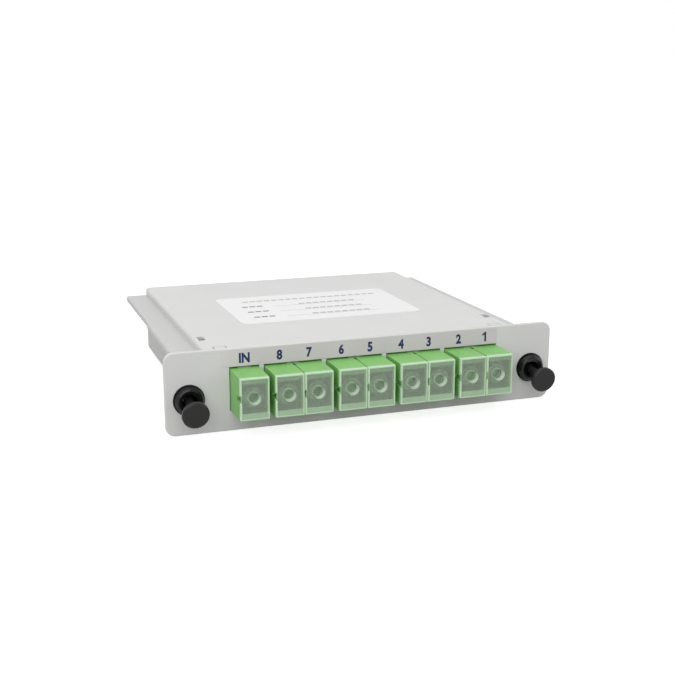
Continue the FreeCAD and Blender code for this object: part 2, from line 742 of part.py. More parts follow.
def make_sleeve(name, across):
    """Split alignment sleeve, loose in its holder."""
    body = new_body(name, across, PORT_LEVEL)
    tube = front_sketch(body, f"{name}_tube", f"{ADAPTER_MIDDLE} - {SLEEVE_HALF}")
    add_circle(tube, "0", "0", SLEEVE_RADIUS)
    add_circle(tube, "0", "0", dim("ferrule_radius"))
    pad(body, tube, f"2 * {SLEEVE_HALF}", along_normal=False)
    slit = front_sketch(body, f"{name}_slit", f"{ADAPTER_MIDDLE} - {SLEEVE_HALF}")
    half_slit = f"{dim('sleeve_slit')} / 2"
    add_rectangle(slit, f"-{half_slit}", half_slit, "0", f"2 * {SLEEVE_RADIUS}")
    pocket(body, slit)


def make_cap(name, across):
    """Dust cap: a flange over the port and a cored plug inside it."""
    body = new_body(name, across, PORT_LEVEL)
    half_width = f"{dim('adapter_width')} / 2"
    half_height = f"{dim('adapter_height')} / 2"
    half_notch = f"{dim('cap_notch_height')} / 2"
    notch = f"-{half_width} + {dim('cap_notch_depth')}"
    flange = front_sketch(body, f"{name}_flange", CAP_FACE)
    add_outline(flange, [
        (f"-{half_width}", f"-{half_height}"),
        (half_width, f"-{half_height}"),
        (half_width, half_height),
        (f"-{half_width}", half_height),
        (f"-{half_width}", half_notch),
        (notch, half_notch),
        (notch, f"-{half_notch}"),
        (f"-{half_width}", f"-{half_notch}"),
    ])
    pad(body, flange, dim("cap_flange"), along_normal=False)
    face = -size("adapter_front") - size("cap_clearance") - size("cap_flange")
    width = size("adapter_width") / 2
    height = size("adapter_height") / 2

    def is_flange_corner(edge):
        point = edge.Vertexes[0].Point
        return runs_along(edge, 1) and near(abs(point.x), width) and near(abs(point.z), height)

    round_edges(body, f"{name}_corners", dim("cap_edge"), is_flange_corner)
    round_edges(body, f"{name}_face_edge", dim("cap_edge"), lambda edge: lies_at(edge, 1, face))
    plug = front_sketch(body, f"{name}_plug", CAP_BACK)
    plug_width = f"({dim('cavity_width')} - 2 * {dim('cap_plug_clearance')})"
    plug_height = f"({dim('cavity_height')} - 2 * {dim('cap_plug_clearance')})"
    add_centred(plug, "0", "0", plug_width, plug_height)
    pad(body, plug, dim("cap_plug_length"), along_normal=False)
    bore = front_sketch(body, f"{name}_bore", f"{CAP_BACK} + {dim('cap_plug_length')}")
    add_circle(bore, "0", "0", f"{dim('holder_radius')} + {dim('cap_bore_clearance')}")
    pocket(body, bore, dim("cap_bore_depth"), along_normal=True)
    recess = front_sketch(body, f"{name}_recess", CAP_FACE)
    add_circle(recess, "0", "0", dim("cap_recess_radius"))
    narrowing = f"({dim('cap_recess_radius')} - {dim('cap_recess_floor')})"
    draft = f"-atan({narrowing} / {dim('cap_recess_depth')})"
    pocket(body, recess, dim("cap_recess_depth"), draft=draft)


def make_connector(name, across):
    """Connector in the adapter's rear cavity, with its ferrule, grip and boot."""
    body = new_body(name, across, PORT_LEVEL)
    plug = front_sketch(body, f"{name}_plug", PLUG_FRONT)
    add_centred(plug, "0", "0", PLUG_WIDTH, PLUG_HEIGHT)
    pad(body, plug, f"{GRIP_FRONT} - {PLUG_FRONT}", along_normal=False)
    bore = front_sketch(body, f"{name}_bore", PLUG_FRONT)
    bore_back = f"({ADAPTER_MIDDLE} + {HOLDER_HALF} + {dim('cap_bore_clearance')})"
    add_circle(bore, "0", "0", f"{dim('holder_radius')} + {dim('cap_bore_clearance')}")
    pocket(body, bore, f"{bore_back} - {PLUG_FRONT}")
    ferrule = front_sketch(body, f"{name}_ferrule", ADAPTER_MIDDLE)
    add_circle(ferrule, "0", "0", f"{dim('ferrule_radius')} - {dim('ferrule_clearance')}")
    pad(body, ferrule, f"{GRIP_FRONT} - {ADAPTER_MIDDLE}", along_normal=False)
    grip = front_sketch(body, f"{name}_grip", GRIP_FRONT)
    half_width = f"{dim('grip_width')} / 2"
    half_height = f"{dim('grip_height')} / 2"
    edge = dim("grip_edge")
    add_outline(grip, [
        (f"-{half_width} + {edge}", f"-{half_height}"),
        (f"{half_width} - {edge}", f"-{half_height}"),
        (half_width, f"-{half_height} + {edge}"),
        (half_width, f"{half_height} - {edge}"),
        (f"{half_width} - {edge}", half_height),
        (f"-{half_width} + {edge}", half_height),
        (f"-{half_width}", f"{half_height} - {edge}"),
        (f"-{half_width}", f"-{half_height} + {edge}"),
    ])
    pad(body, grip, dim("grip_length"), along_normal=False)
    boot = top_sketch(body, f"{name}_boot")
    add_outline(boot, [
        ("0", GRIP_BACK),
        (dim("boot_root_radius"), GRIP_BACK),
        (dim("boot_tip_radius"), BOOT_BACK),
        ("0", BOOT_BACK),
    ])
    revolve(body, boot)


# ---------------------------------------------------------------- splitter case and fibres

def make_splitter_case():
    """Steel case of the splitter chip, bonded to the rear wall."""
    across = f"({SINGLE_PLACE} + {output_place(OUTPUT_COUNT - 2)}) / 2"
    body = new_body("splitter_case", across, PORT_LEVEL)
    case = front_sketch(body, "case_end", f"{WALL_FRONT} - {dim('case_thickness')}")
    add_centred(case, "0", "0", dim("case_length"), dim("case_height"))
    pad(body, case, dim("case_thickness"), along_normal=False)


def rounded_route(points, bend):
    """Wire of straight runs joined by tangent arcs of one radius."""
    edges = []
    start = points[0]
    for before, corner, after in zip(points, points[1:], points[2:]):
        arriving = (corner - before).normalize()
        leaving = (after - corner).normalize()
        turn = arriving.getAngle(leaving)
        reach = bend * math.tan(turn / 2)
        arc_start = corner - arriving * reach
        arc_end = corner + leaving * reach
        inward = (leaving - arriving).normalize()
        arc_middle = corner + inward * (bend / math.cos(turn / 2) - bend)
        edges.append(Part.LineSegment(start, arc_start).toShape())
        edges.append(Part.Arc(arc_start, arc_middle, arc_end).toShape())
        start = arc_end
    edges.append(Part.LineSegment(start, points[-1]).toShape())
    return Part.Wire(edges)


def make_fibre(name, points):
    """Jacketed fibre along a route of arcs, from its first point to its last."""
    path = rounded_route(points, size("fibre_bend"))
    radius = size("fibre_radius")
    direction = points[1] - points[0]
    section = Part.Wire([Part.makeCircle(radius, points[0], direction)])
    shape = path.makePipeShell([section], True, False)
    expected = math.pi * radius * radius * path.Length
    if abs(shape.Volume - expected) > SWEEP_TOLERANCE * expected:
        raise RuntimeError(f"{name} has volume {shape.Volume}, expected {expected}")
    fibre = document.addObject("Part::Feature", name)
    fibre.Label = name
    fibre.Shape = shape
    fibre.setExpression("Placement.Base.y", PANEL_PLACE)


def make_fibres():
    """Input fibre from its connector, and one output fibre in its own plane per port."""
    level = size("cutout_bottom") + size("seat_clearance") + size("adapter_height") / 2
    wall = size("panel_thickness") + size("box_depth") - size("sheet_gauge")
    case_line = wall - size("case_thickness") / 2
    case_left = case_across() - size("case_length") / 2
    case_right = case_across() + size("case_length") / 2
    boot_end = (size("adapter_rear") + size("cap_clearance") + size("grip_length")
                + size("boot_length"))
    make_fibre("fibre_in", [
        Vector(input_across(), boot_end, level),
        Vector(input_across(), case_line, level),
        Vector(case_left, case_line, level),
    ])
    turn_across = half_inside() - size("fibre_wall_gap")
    bend = size("fibre_bend")
    slope_end = boot_end + size("fibre_lead_in")
    slope_start = slope_end + size("fibre_slope")
    lane = slope_start + size("fibre_lead_in") / 2 + bend
    for number in range(OUTPUT_COUNT):
        across = output_across(number)
        plane = level + (number - (OUTPUT_COUNT - 1) / 2) * size("fibre_spacing")
        route = [Vector(case_right, case_line, plane)]
        if across - case_right > bend:
            route.append(Vector(across, case_line, plane))
        else:
            route.append(Vector(turn_across, case_line, plane))
            route.append(Vector(turn_across, lane, plane))
            route.append(Vector(across, lane, plane))
        route.append(Vector(across, slope_start, plane))
        route.append(Vector(across, slope_end, level))
        route.append(Vector(across, boot_end, level))
        make_fibre(f"fibre_{OUTPUT_COUNT - number}", route)


# ---------------------------------------------------------------- latches

def make_latch(side, across):
    """Push-pull panel latch: a grommet with split legs, and a plunger that slides in it.

    The plunger hangs on its bore's play, with the knob end low and the tail end high.
    """
    grommet = new_body(f"latch_grommet_{side}", across, dim("latch_height"))
    profile = top_sketch(grommet, f"grommet_{side}_profile")
    rim_radius = f"{dim('collar_radius')} + {dim('collar_rim')}"
    rim_front = f"-{dim('collar_rim_height')}"
    collar_front = f"-{dim('collar_height')}"
    crown = f"({dim('collar_mouth')} + {dim('collar_radius')}) / 2"
    add_outline(profile, [
        (dim("latch_bore"), dim("latch_barrel_length")),
        (dim("latch_barrel"), dim("latch_barrel_length")),
        (dim("latch_barrel"), PANEL_BACK),
        (dim("latch_shoulder"), PANEL_BACK),
        (dim("latch_shoulder"), "0"),
        (rim_radius, "0"),
        (rim_radius, rim_front),
        (dim("collar_radius"), rim_front),
        (dim("collar_radius"), f"{collar_front} * {COLLAR_SIDE}"),
        (f"({crown} + {dim('collar_radius')}) / 2", f"{collar_front} * {COLLAR_SHOULDER}"),
        (crown, collar_front),
        (dim("collar_mouth"), f"{collar_front} * {COLLAR_LIP}"),
        (dim("latch_bore"), f"{collar_front} * {COLLAR_SIDE}"),
    ])
    revolve(grommet, profile)
    for slope in (-1, 1):
        slit = front_sketch(grommet, f"grommet_{side}_slit", dim("latch_barrel_length"))
        slit.setExpression("AttachmentOffset.Rotation.Angle", f"{slope} * {dim('latch_slit_turn')}")
        add_centred(slit, "0", "0", f"3 * {dim('latch_barrel')}", dim("latch_slit"))
        pocket(grommet, slit, dim("latch_slit_length"), along_normal=True)

    plunger = new_body(f"latch_plunger_{side}", across, dim("latch_height"))
    droop(plunger, LATCH_MIDDLE, LATCH_DROOP)
    outline = top_sketch(plunger, f"plunger_{side}_profile")
    face = f"-({dim('knob_reach')} + {LATCH_MIDDLE})"
    back = f"({face} + {dim('knob_thickness')})"
    edge = dim("knob_edge")
    tip = f"({dim('plunger_inside')} - {LATCH_MIDDLE})"
    add_outline(outline, [
        ("0", face),
        (f"{dim('knob_radius')} - {edge}", face),
        (dim("knob_radius"), f"{face} + {edge}"),
        (dim("knob_radius"), f"{back} - {edge} / 2"),
        (f"{dim('knob_radius')} - {edge} / 2", back),
        (dim("plunger_radius"), f"{back} + {dim('knob_cone')}"),
        (dim("plunger_radius"), f"{tip} - {edge}"),
        (f"{dim('plunger_radius')} - {edge}", tip),
        ("0", tip),
    ])
    revolve(plunger, outline)


# ---------------------------------------------------------------- whole cassette

def make_ports():
    """Adapters with their clips, and the pieces that each port holds."""
    make_adapter("adapter_in", SINGLE_PLACE, 1)
    make_clip("clip_in", SINGLE_PLACE, 1)
    port_places = {"in": SINGLE_PLACE}
    for index in range(DUPLEX_COUNT):
        high = OUTPUT_COUNT - index * PORTS_BEHIND_DUPLEX
        make_adapter(f"adapter_{high}_{high - 1}", duplex_place(index), PORTS_BEHIND_DUPLEX)
        make_clip(f"clip_{high}_{high - 1}", duplex_place(index), PORTS_BEHIND_DUPLEX)
    for number in range(OUTPUT_COUNT):
        port_places[str(OUTPUT_COUNT - number)] = output_place(number)
    for port, across in port_places.items():
        make_sleeve(f"sleeve_{port}", across)
        make_cap(f"dust_cap_{port}", across)
        make_connector(f"connector_{port}", across)


def piece_objects():
    """Objects that each hold one finished sub-part."""
    kinds = ("PartDesign::Body", "Part::Feature")
    return [item for item in document.Objects if item.TypeId in kinds]


def check_document():
    """Stop if any object failed or any sub-part has no sound shape."""
    for item in document.Objects:
        if "Invalid" in item.State or "Error" in item.State:
            raise RuntimeError(f"{item.Name} failed: {item.State}")
    for piece in piece_objects():
        if piece.Shape.isNull() or not piece.Shape.isValid() or not piece.Shape.Solids:
            raise RuntimeError(f"{piece.Label} has no sound shape")


def write_parts():
    """Write one file for each sub-part."""
    os.makedirs("parts", exist_ok=True)
    for piece in piece_objects():
        piece.Shape.exportStep(f"parts/{piece.Label}.step")


make_front_panel()
make_base_pan()
make_top_cover()
make_cover_screws()
make_number_strip()
make_top_label()
make_ports()
make_splitter_case()
make_fibres()
make_latch("left", f"-{LATCH_PLACE}")
make_latch("right", LATCH_PLACE)
document.recompute()
check_document()
write_parts()
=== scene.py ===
"""Dressed scene of a plug-in fibre splitter cassette: finishes, printed marks, light and camera.

Metres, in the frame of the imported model: x to the right, y to the back, z up, floor at z = 0.
"""
import json
import math

import bmesh
import bpy
from mathutils import Matrix, Vector


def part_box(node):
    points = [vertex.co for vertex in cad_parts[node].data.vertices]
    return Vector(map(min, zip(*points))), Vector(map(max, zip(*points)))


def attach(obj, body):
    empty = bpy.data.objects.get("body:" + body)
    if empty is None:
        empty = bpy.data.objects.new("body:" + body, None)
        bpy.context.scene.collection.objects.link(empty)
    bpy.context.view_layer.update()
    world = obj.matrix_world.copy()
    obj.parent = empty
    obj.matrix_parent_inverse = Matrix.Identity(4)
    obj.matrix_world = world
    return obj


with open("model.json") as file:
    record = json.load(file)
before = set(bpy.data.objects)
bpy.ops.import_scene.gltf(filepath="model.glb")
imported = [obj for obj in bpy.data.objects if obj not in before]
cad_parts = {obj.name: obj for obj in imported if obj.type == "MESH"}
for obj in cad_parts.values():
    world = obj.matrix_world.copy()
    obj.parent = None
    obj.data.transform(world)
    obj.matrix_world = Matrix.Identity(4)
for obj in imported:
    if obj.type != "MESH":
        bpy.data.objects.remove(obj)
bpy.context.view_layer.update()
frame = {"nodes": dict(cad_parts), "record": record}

MM = 0.001
PORTS = ("in", "8", "7", "6", "5", "4", "3", "2", "1")
SIDES = ("left", "right")


# ---------------------------------------------------------------- node helpers

# Range in which most of a noise lies.
NOISE_LOW = 0.3
NOISE_HIGH = 0.7


def new_finish(name, **values):
    """Material with one principled shader; the values go on the shader's own sockets."""
    material = bpy.data.materials.new(name)
    material.use_nodes = True
    tree = material.node_tree
    shader = tree.nodes["Principled BSDF"]
    for socket, value in values.items():
        shader.inputs[socket.replace("_", " ")].default_value = value
    return material, tree, shader


def add_node(tree, kind, inputs, **settings):
    """Node with its settings made and its inputs set or linked."""
    node = tree.nodes.new(kind)
    for name, value in settings.items():
        setattr(node, name, value)
    for name, value in inputs.items():
        if isinstance(value, bpy.types.NodeSocket):
            tree.links.new(value, node.inputs[name])
        else:
            node.inputs[name].default_value = value
    return node


def noise(tree, cell, stretch=(1.0, 1.0, 1.0), detail=2.0):
    """Noise from 0 to 1 whose spots are about one cell across, in metres."""
    place = add_node(tree, "ShaderNodeTexCoord", {})
    scale = tuple(part / cell for part in stretch)
    mapped = add_node(tree, "ShaderNodeMapping",
                      {"Vector": place.outputs["Object"], "Scale": scale})
    spots = add_node(tree, "ShaderNodeTexNoise",
                     {"Vector": mapped.outputs["Vector"], "Scale": 1.0, "Detail": detail})
    return spots.outputs["Fac"]


def ramp(tree, value, start, end, low=0.0, high=1.0):
    """Number that goes from low to high as the value goes from the start to the end."""
    node = add_node(tree, "ShaderNodeMapRange", {
        "Value": value, "From Min": start, "From Max": end, "To Min": low, "To Max": high})
    return node.outputs["Result"]


def spread(tree, value, low, high):
    """The middle range of a noise, where most of it lies, stretched between two numbers."""
    return ramp(tree, value, NOISE_LOW, NOISE_HIGH, low, high)


def inside(tree, distance, limit, blur):
    """1 where a distance is below a limit, after fading from 0 over the blur."""
    return ramp(tree, distance, limit - blur, limit, 1.0, 0.0)


def calculate(tree, operation, *values):
    """Result of one math node; each value is a number or another node's output."""
    step = add_node(tree, "ShaderNodeMath", dict(enumerate(values)), operation=operation)
    return step.outputs[0]


def blend(tree, factor, first, second):
    """Colour that goes from the first to the second as the factor goes from 0 to 1."""
    mix = add_node(tree, "ShaderNodeMix", {"Factor": factor}, data_type="RGBA")
    sockets = [socket for socket in mix.inputs if socket.type == "RGBA"]
    for socket, colour in zip(sockets, (first, second)):
        if isinstance(colour, bpy.types.NodeSocket):
            tree.links.new(colour, socket)
        else:
            socket.default_value = (*colour, 1.0)
    return next(socket for socket in mix.outputs if socket.type == "RGBA")


def two_tone(tree, shader, factor, first, second):
    """Base colour that goes from one colour to another as a noise rises."""
    colour = blend(tree, spread(tree, factor, 0.0, 1.0), first, second)
    tree.links.new(colour, shader.inputs["Base Color"])


def relief(tree, shader, height, depth):
    """Bump of a depth in metres from a height of 0 to 1."""
    bump = add_node(tree, "ShaderNodeBump", {"Height": height, "Distance": depth, "Strength": 1.0})
    tree.links.new(bump.outputs["Normal"], shader.inputs["Normal"])


def shade(colour, factor):
    """Colour made lighter or darker."""
    return tuple(channel * factor for channel in colour)


def front_size(node):
    """Width and height of a node's box, seen from the front."""
    low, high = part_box(node)
    return high.x - low.x, high.z - low.z


def from_middle(tree, node):
    """Distances from the middle of a node's box, to the side and upwards, in metres."""
    place = add_node(tree, "ShaderNodeTexCoord", {})
    shares = add_node(tree, "ShaderNodeSeparateXYZ", {"Vector": place.outputs["Generated"]})
    distances = []
    for axis, extent in zip("XZ", front_size(node)):
        share = calculate(tree, "SUBTRACT", shares.outputs[axis], 0.5)
        distances.append(calculate(tree, "MULTIPLY", share, extent))
    return distances


def from_axis(tree, node):
    """Distance from the line through the middle of a node's box, front to back, in metres."""
    squares = [calculate(tree, "MULTIPLY", part, part) for part in from_middle(tree, node)]
    return calculate(tree, "SQRT", calculate(tree, "ADD", *squares))


# ---------------------------------------------------------------- finishes

# Painted shade in the slots and grooves of the adapters: how near the piece's other faces have to
# be to count, the open shares at which a point is fully shaded and fully green, and the shade as a
# share of the green.
CREVICE_REACH = 1.0 * MM
CREVICE_SHUT = 0.35
CREVICE_OPEN = 0.9
CREVICE_SAMPLES = 8
CREVICE_SHADE = 0.25

# Length over which the film's print fades in from its left end.
FILM_BARE_END = 12 * MM

# Faces of the caps, which are all alike, so that the first one's box stands for each: the rim of
# painted highlight, the blur of every painted edge, the radii of the painted highlight ring in the
# recess, the height and strength of the band of painted light at the foot, and how clear the
# plastic is elsewhere and where painted pale.
CAP_RIM = 0.62 * MM
CAP_BLUR = 0.2 * MM
CAP_RECESS_RADIUS = 1.95 * MM
CAP_RECESS_INNER = 1.5 * MM
CAP_FOOT = 2.3 * MM
CAP_FOOT_SHARE = 0.4
CAP_CLEARNESS = 0.76
CAP_PALE_CLEARNESS = 0.3

# Latch collars, both alike: the radius of the dull bore, the blur of its edge, and the shine
# of the rest.
LATCH_BORE_RADIUS = 2.4 * MM
LATCH_BLUR = 0.1 * MM
LATCH_SHINE = 0.25


def powder_coat(name, colour):
    """Fine-textured paint baked onto sheet metal."""
    material, tree, shader = new_finish(name, Metallic=0.0, Specular_IOR_Level=0.4)
    cloud = noise(tree, 14 * MM, detail=3.0)
    peel = noise(tree, 0.8 * MM)
    two_tone(tree, shader, cloud, shade(colour, 0.985), shade(colour, 1.015))
    tree.links.new(spread(tree, peel, 0.46, 0.56), shader.inputs["Roughness"])
    relief(tree, shader, peel, 0.012 * MM)
    return material


def moulded(name, colour, roughness, texture=0.35 * MM, depth=0.004 * MM, **values):
    """Moulded plastic with a faint flow pattern and a fine eroded texture."""
    material, tree, shader = new_finish(name, **values)
    flow = noise(tree, 3 * MM, stretch=(1.0, 0.35, 1.0), detail=3.0)
    grain = noise(tree, texture)
    two_tone(tree, shader, flow, shade(colour, 0.95), shade(colour, 1.05))
    tree.links.new(spread(tree, grain, roughness - 0.05, roughness + 0.05),
                   shader.inputs["Roughness"])
    relief(tree, shader, grain, depth)
    return material


def paint_crevice_shade(tree, shader, shade_colour):
    """Base colour with painted shade, dark where the piece's own faces shut out the surroundings.
    """
    socket = shader.inputs["Base Color"]
    colour = socket.links[0].from_socket
    open_share = add_node(tree, "ShaderNodeAmbientOcclusion", {"Distance": CREVICE_REACH},
                          only_local=True, samples=CREVICE_SAMPLES)
    openness = ramp(tree, open_share.outputs["AO"], CREVICE_SHUT, CREVICE_OPEN)
    tree.links.new(blend(tree, openness, shade_colour, colour), socket)


def adapter_green(name, colour):
    """Moulded green of the adapters, with painted shade in their slots and grooves."""
    material = moulded(name, colour, 0.4, Subsurface_Weight=0.12, Subsurface_Scale=1.2 * MM)
    tree = material.node_tree
    # Painted shade in the slots and grooves, as a share of the green.
    paint_crevice_shade(tree, tree.nodes["Principled BSDF"], shade(colour, CREVICE_SHADE))
    return material


def brushed(name, colour, roughness, along):
    """Bare metal brushed along one axis."""
    material, tree, shader = new_finish(name, Metallic=1.0)
    stretch = tuple(0.04 if axis == along else 1.0 for axis in range(3))
    lines = noise(tree, 0.12 * MM, stretch=stretch)
    two_tone(tree, shader, lines, shade(colour, 0.88), shade(colour, 1.08))
    tree.links.new(spread(tree, lines, roughness - 0.07, roughness + 0.07),
                   shader.inputs["Roughness"])
    relief(tree, shader, lines, 0.002 * MM)
    return material


def printed_film(name, colour, bare_colour):
    """Satin film over the adapters, wavy from being stuck down and barer to its left end."""
    material, tree, shader = new_finish(name, Specular_IOR_Level=0.5)
    waves = noise(tree, 9 * MM, stretch=(1.0, 1.0, 0.6))
    across = from_middle(tree, "number_strip")[0]
    left_end = -front_size("number_strip")[0] / 2
    printed = ramp(tree, across, left_end, left_end + FILM_BARE_END)
    tone = blend(tree, spread(tree, waves, 0.0, 1.0), shade(colour, 0.98), shade(colour, 1.02))
    tree.links.new(blend(tree, printed, bare_colour, tone), shader.inputs["Base Color"])
    tree.links.new(spread(tree, waves, 0.34, 0.42), shader.inputs["Roughness"])
    relief(tree, shader, waves, 0.02 * MM)
    return material


def paper(name, colour):
    """Coated label paper with a fine fibre."""
    material, tree, shader = new_finish(name, Specular_IOR_Level=0.35)
    fibre = noise(tree, 0.5 * MM, stretch=(1.0, 0.5, 1.0), detail=4.0)
    two_tone(tree, shader, fibre, shade(colour, 0.975), shade(colour, 1.01))
    tree.links.new(spread(tree, fibre, 0.48, 0.6), shader.inputs["Roughness"])
    relief(tree, shader, fibre, 0.004 * MM)
    return material


def ink(name, colour):
    """Screen-printed ink, a little uneven in its cover; also the finish of the painted shade on
    the screw heads.
    """
    material, tree, shader = new_finish(name, Specular_IOR_Level=0.4)
    cover = noise(tree, 0.6 * MM, detail=3.0)
    two_tone(tree, shader, cover, colour, tuple(0.9 * part + 0.02 for part in colour))
    tree.links.new(spread(tree, cover, 0.4, 0.55), shader.inputs["Roughness"])
    relief(tree, shader, cover, 0.003 * MM)
    return material


def cap_rim_highlight(tree):
    """Painted highlight: 1 near the outer edges of a cap's face, where light gathers, and 0 in the
    middle.
    """
    places = zip(from_middle(tree, "dust_cap_in"), front_size("dust_cap_in"))
    depths = [calculate(tree, "SUBTRACT", extent / 2, calculate(tree, "ABSOLUTE", part))
              for part, extent in places]
    return inside(tree, calculate(tree, "MINIMUM", *depths), CAP_RIM, CAP_BLUR)


def cap_recess_highlight(tree):
    """Painted highlight: 1 on the outer part of the sloped wall of a cap's recess, 0 within and
    around it.
    """
    distance = from_axis(tree, "dust_cap_in")
    whole = inside(tree, distance, CAP_RECESS_RADIUS, CAP_BLUR / 2)
    inner = inside(tree, distance, CAP_RECESS_INNER, CAP_BLUR)
    return calculate(tree, "SUBTRACT", whole, inner)


def cap_foot_light(tree):
    """Painted light: a share of 1 in a band along a cap's bottom edge, where its wall backs the
    face.
    """
    upwards = from_middle(tree, "dust_cap_in")[1]
    height = calculate(tree, "ADD", upwards, front_size("dust_cap_in")[1] / 2)
    band = inside(tree, height, CAP_FOOT, CAP_BLUR)
    return calculate(tree, "MULTIPLY", band, CAP_FOOT_SHARE)


def clear_cap(name, colour, highlight_colour, recess_highlight_colour):
    """Cloudy clear plastic of the dust caps, with painted highlights along the edges and in the
    recess.
    """
    material, tree, shader = new_finish(name, IOR=1.46, Specular_IOR_Level=0.5)
    cloud = noise(tree, 1.6 * MM, detail=3.0)
    grain = noise(tree, 0.5 * MM)
    recess = cap_recess_highlight(tree)
    edges = calculate(tree, "MAXIMUM", cap_rim_highlight(tree), cap_foot_light(tree))
    pale = calculate(tree, "MAXIMUM", edges, recess)
    face = blend(tree, spread(tree, cloud, 0.0, 1.0), shade(colour, 0.92), shade(colour, 1.06))
    # Painted highlight on the rim and painted light in the band at the foot.
    edged = blend(tree, edges, face, highlight_colour)
    # Painted highlight on the sloped wall of the recess.
    tree.links.new(blend(tree, recess, edged, recess_highlight_colour), shader.inputs["Base Color"])
    tree.links.new(ramp(tree, pale, 0.0, 1.0, CAP_CLEARNESS, CAP_PALE_CLEARNESS),
                   shader.inputs["Transmission Weight"])
    tree.links.new(spread(tree, cloud, 0.14, 0.26), shader.inputs["Roughness"])
    relief(tree, shader, grain, 0.006 * MM)
    return material


def grommet_black(name, colour):
    """Smooth black nylon of the latch collars, dull inside the bore."""
    material, tree, shader = new_finish(name)
    flow = noise(tree, 2 * MM, detail=3.0)
    two_tone(tree, shader, flow, shade(colour, 0.9), shade(colour, 1.1))
    bore = inside(tree, from_axis(tree, "latch_grommet_left"), LATCH_BORE_RADIUS, LATCH_BLUR)
    tree.links.new(ramp(tree, bore, 0.0, 1.0, LATCH_SHINE, 0.0),
                   shader.inputs["Specular IOR Level"])
    tree.links.new(spread(tree, flow, 0.16, 0.24), shader.inputs["Roughness"])
    relief(tree, shader, flow, 0.01 * MM)
    return material


# One finish for each material slot of the record. Colours are linear red, green and blue.
FINISHES = {
    "panel_paint": powder_coat("panel_powder_coat", (0.585, 0.585, 0.575)),
    "box_paint": powder_coat("box_powder_coat", (0.605, 0.605, 0.6)),
    "screw_steel": brushed("screw_zinc", (0.62, 0.62, 0.6), 0.3, 0),
    "strip_film": printed_film("strip_film", (0.525, 0.48, 0.512), (0.582, 0.562, 0.565)),
    "label_paper": paper("label_paper", (0.765, 0.765, 0.765)),
    "adapter_plastic": adapter_green("adapter_green", (0.195, 0.475, 0.125)),
    "clip_steel": brushed("clip_spring_steel", (0.42, 0.42, 0.41), 0.32, 1),
    "sleeve_ceramic": moulded("sleeve_ceramic", (0.82, 0.81, 0.78), 0.16, depth=0.001 * MM),
    # Clear caps: the face colour, then the painted highlight on the edges and in the recess.
    "cap_plastic": clear_cap("cap_clear_plastic", (0.56, 0.71, 0.53), (0.64, 0.85, 0.6),
                             (0.75, 0.88, 0.73)),
    "connector_plastic": moulded("connector_green", (0.06, 0.33, 0.09), 0.35),
    "case_steel": brushed("case_steel", (0.55, 0.55, 0.54), 0.34, 0),
    "fibre_jacket_input": moulded("fibre_white", (0.78, 0.78, 0.76), 0.45),
    "fibre_jacket": moulded("fibre_yellow", (0.78, 0.6, 0.1), 0.45),
    "latch_plastic": moulded("latch_black", (0.01, 0.01, 0.01), 0.4, Specular_IOR_Level=0.26),
}

# Nodes whose own surface differs from the others of their material slot; the base pan's coat is a
# darker copy of the box's, as painted shade.
GROMMET = grommet_black("grommet_black", (0.006, 0.006, 0.006))
NODE_FINISHES = {
    # Painted shade: the box's powder coat made darker for the base pan.
    "base_pan": powder_coat("pan_shaded_powder_coat", (0.52, 0.52, 0.515)),
    "latch_grommet_left": GROMMET,
    "latch_grommet_right": GROMMET,
}


def dress_nodes():
    """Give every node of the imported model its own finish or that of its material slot."""
    for part in frame["record"]["subparts"]:
        finish = NODE_FINISHES.get(part["node"], FINISHES[part["material_slot"]])
        for slot in frame["nodes"][part["node"]].material_slots:
            slot.material = finish


# ---------------------------------------------------------------- pieces

# Print over the ports. Its middle lies below the film's by the drop. The font's letters are made
# narrower and, by the weight, bolder. The numbers stand right of the ports' middles by the shift,
# plus the spread over odd ports and minus it over even ones.
MARK_HEIGHT = 3.2 * MM
MARK_DROP = 0.125 * MM
MARK_THICKNESS = 0.02 * MM
MARK_NARROW = 0.85
MARK_WEIGHT = 0.045
MARK_SHIFT = 0.38 * MM
MARK_SPREAD = 0.17 * MM

# Depth of the font's mesh before it is scaled, and the steps in each of its curves.
LETTER_DEPTH = 0.02
LETTER_STEPS = 5

# Figure 1, in shares of its height: the bar's width, how far the flag reaches from the bar's
# middle, how far its end lies below the top and is thick, how far down it leaves the bar, and
# how far left of the middle it starts at the top.
ONE_WIDTH = 0.21
ONE_FLAG = 0.34
ONE_FLAG_DROP = 0.2
ONE_FLAG_ROOT = 0.28
ONE_TIP = 0.035

# Form on the label: ends and levels as shares of the label's width and depth, from its left
# and back edges, and then the sizes of its dashes and rules.
FORM_TITLE = (0.13, 0.93)
FORM_NAME = (0.095, 0.2)
FORM_ENTRY = (0.42, 0.76)
FORM_RULE = (0.27, 0.8)
FORM_TITLE_LEVEL = 0.2
FORM_ROW_LEVELS = (0.4, 0.6, 0.8)
FORM_HEIGHT = 1.5 * MM
FORM_RULE_HEIGHT = 0.3 * MM
FORM_DASH = 2.1 * MM
FORM_DASH_GAP = 0.6 * MM

# Painted shade of the cross recesses in the screw heads.
CROSS_LENGTH = 2.6 * MM
CROSS_WIDTH = 0.55 * MM
CROSS_THICKNESS = 0.03 * MM


def new_piece(name, shape, material, body="cassette"):
    """Mesh object made from a bmesh, which rides on a body."""
    mesh = bpy.data.meshes.new(name)
    shape.to_mesh(mesh)
    shape.free()
    piece = bpy.data.objects.new(name, mesh)
    bpy.context.scene.collection.objects.link(piece)
    mesh.materials.append(material)
    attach(piece, body)
    return piece


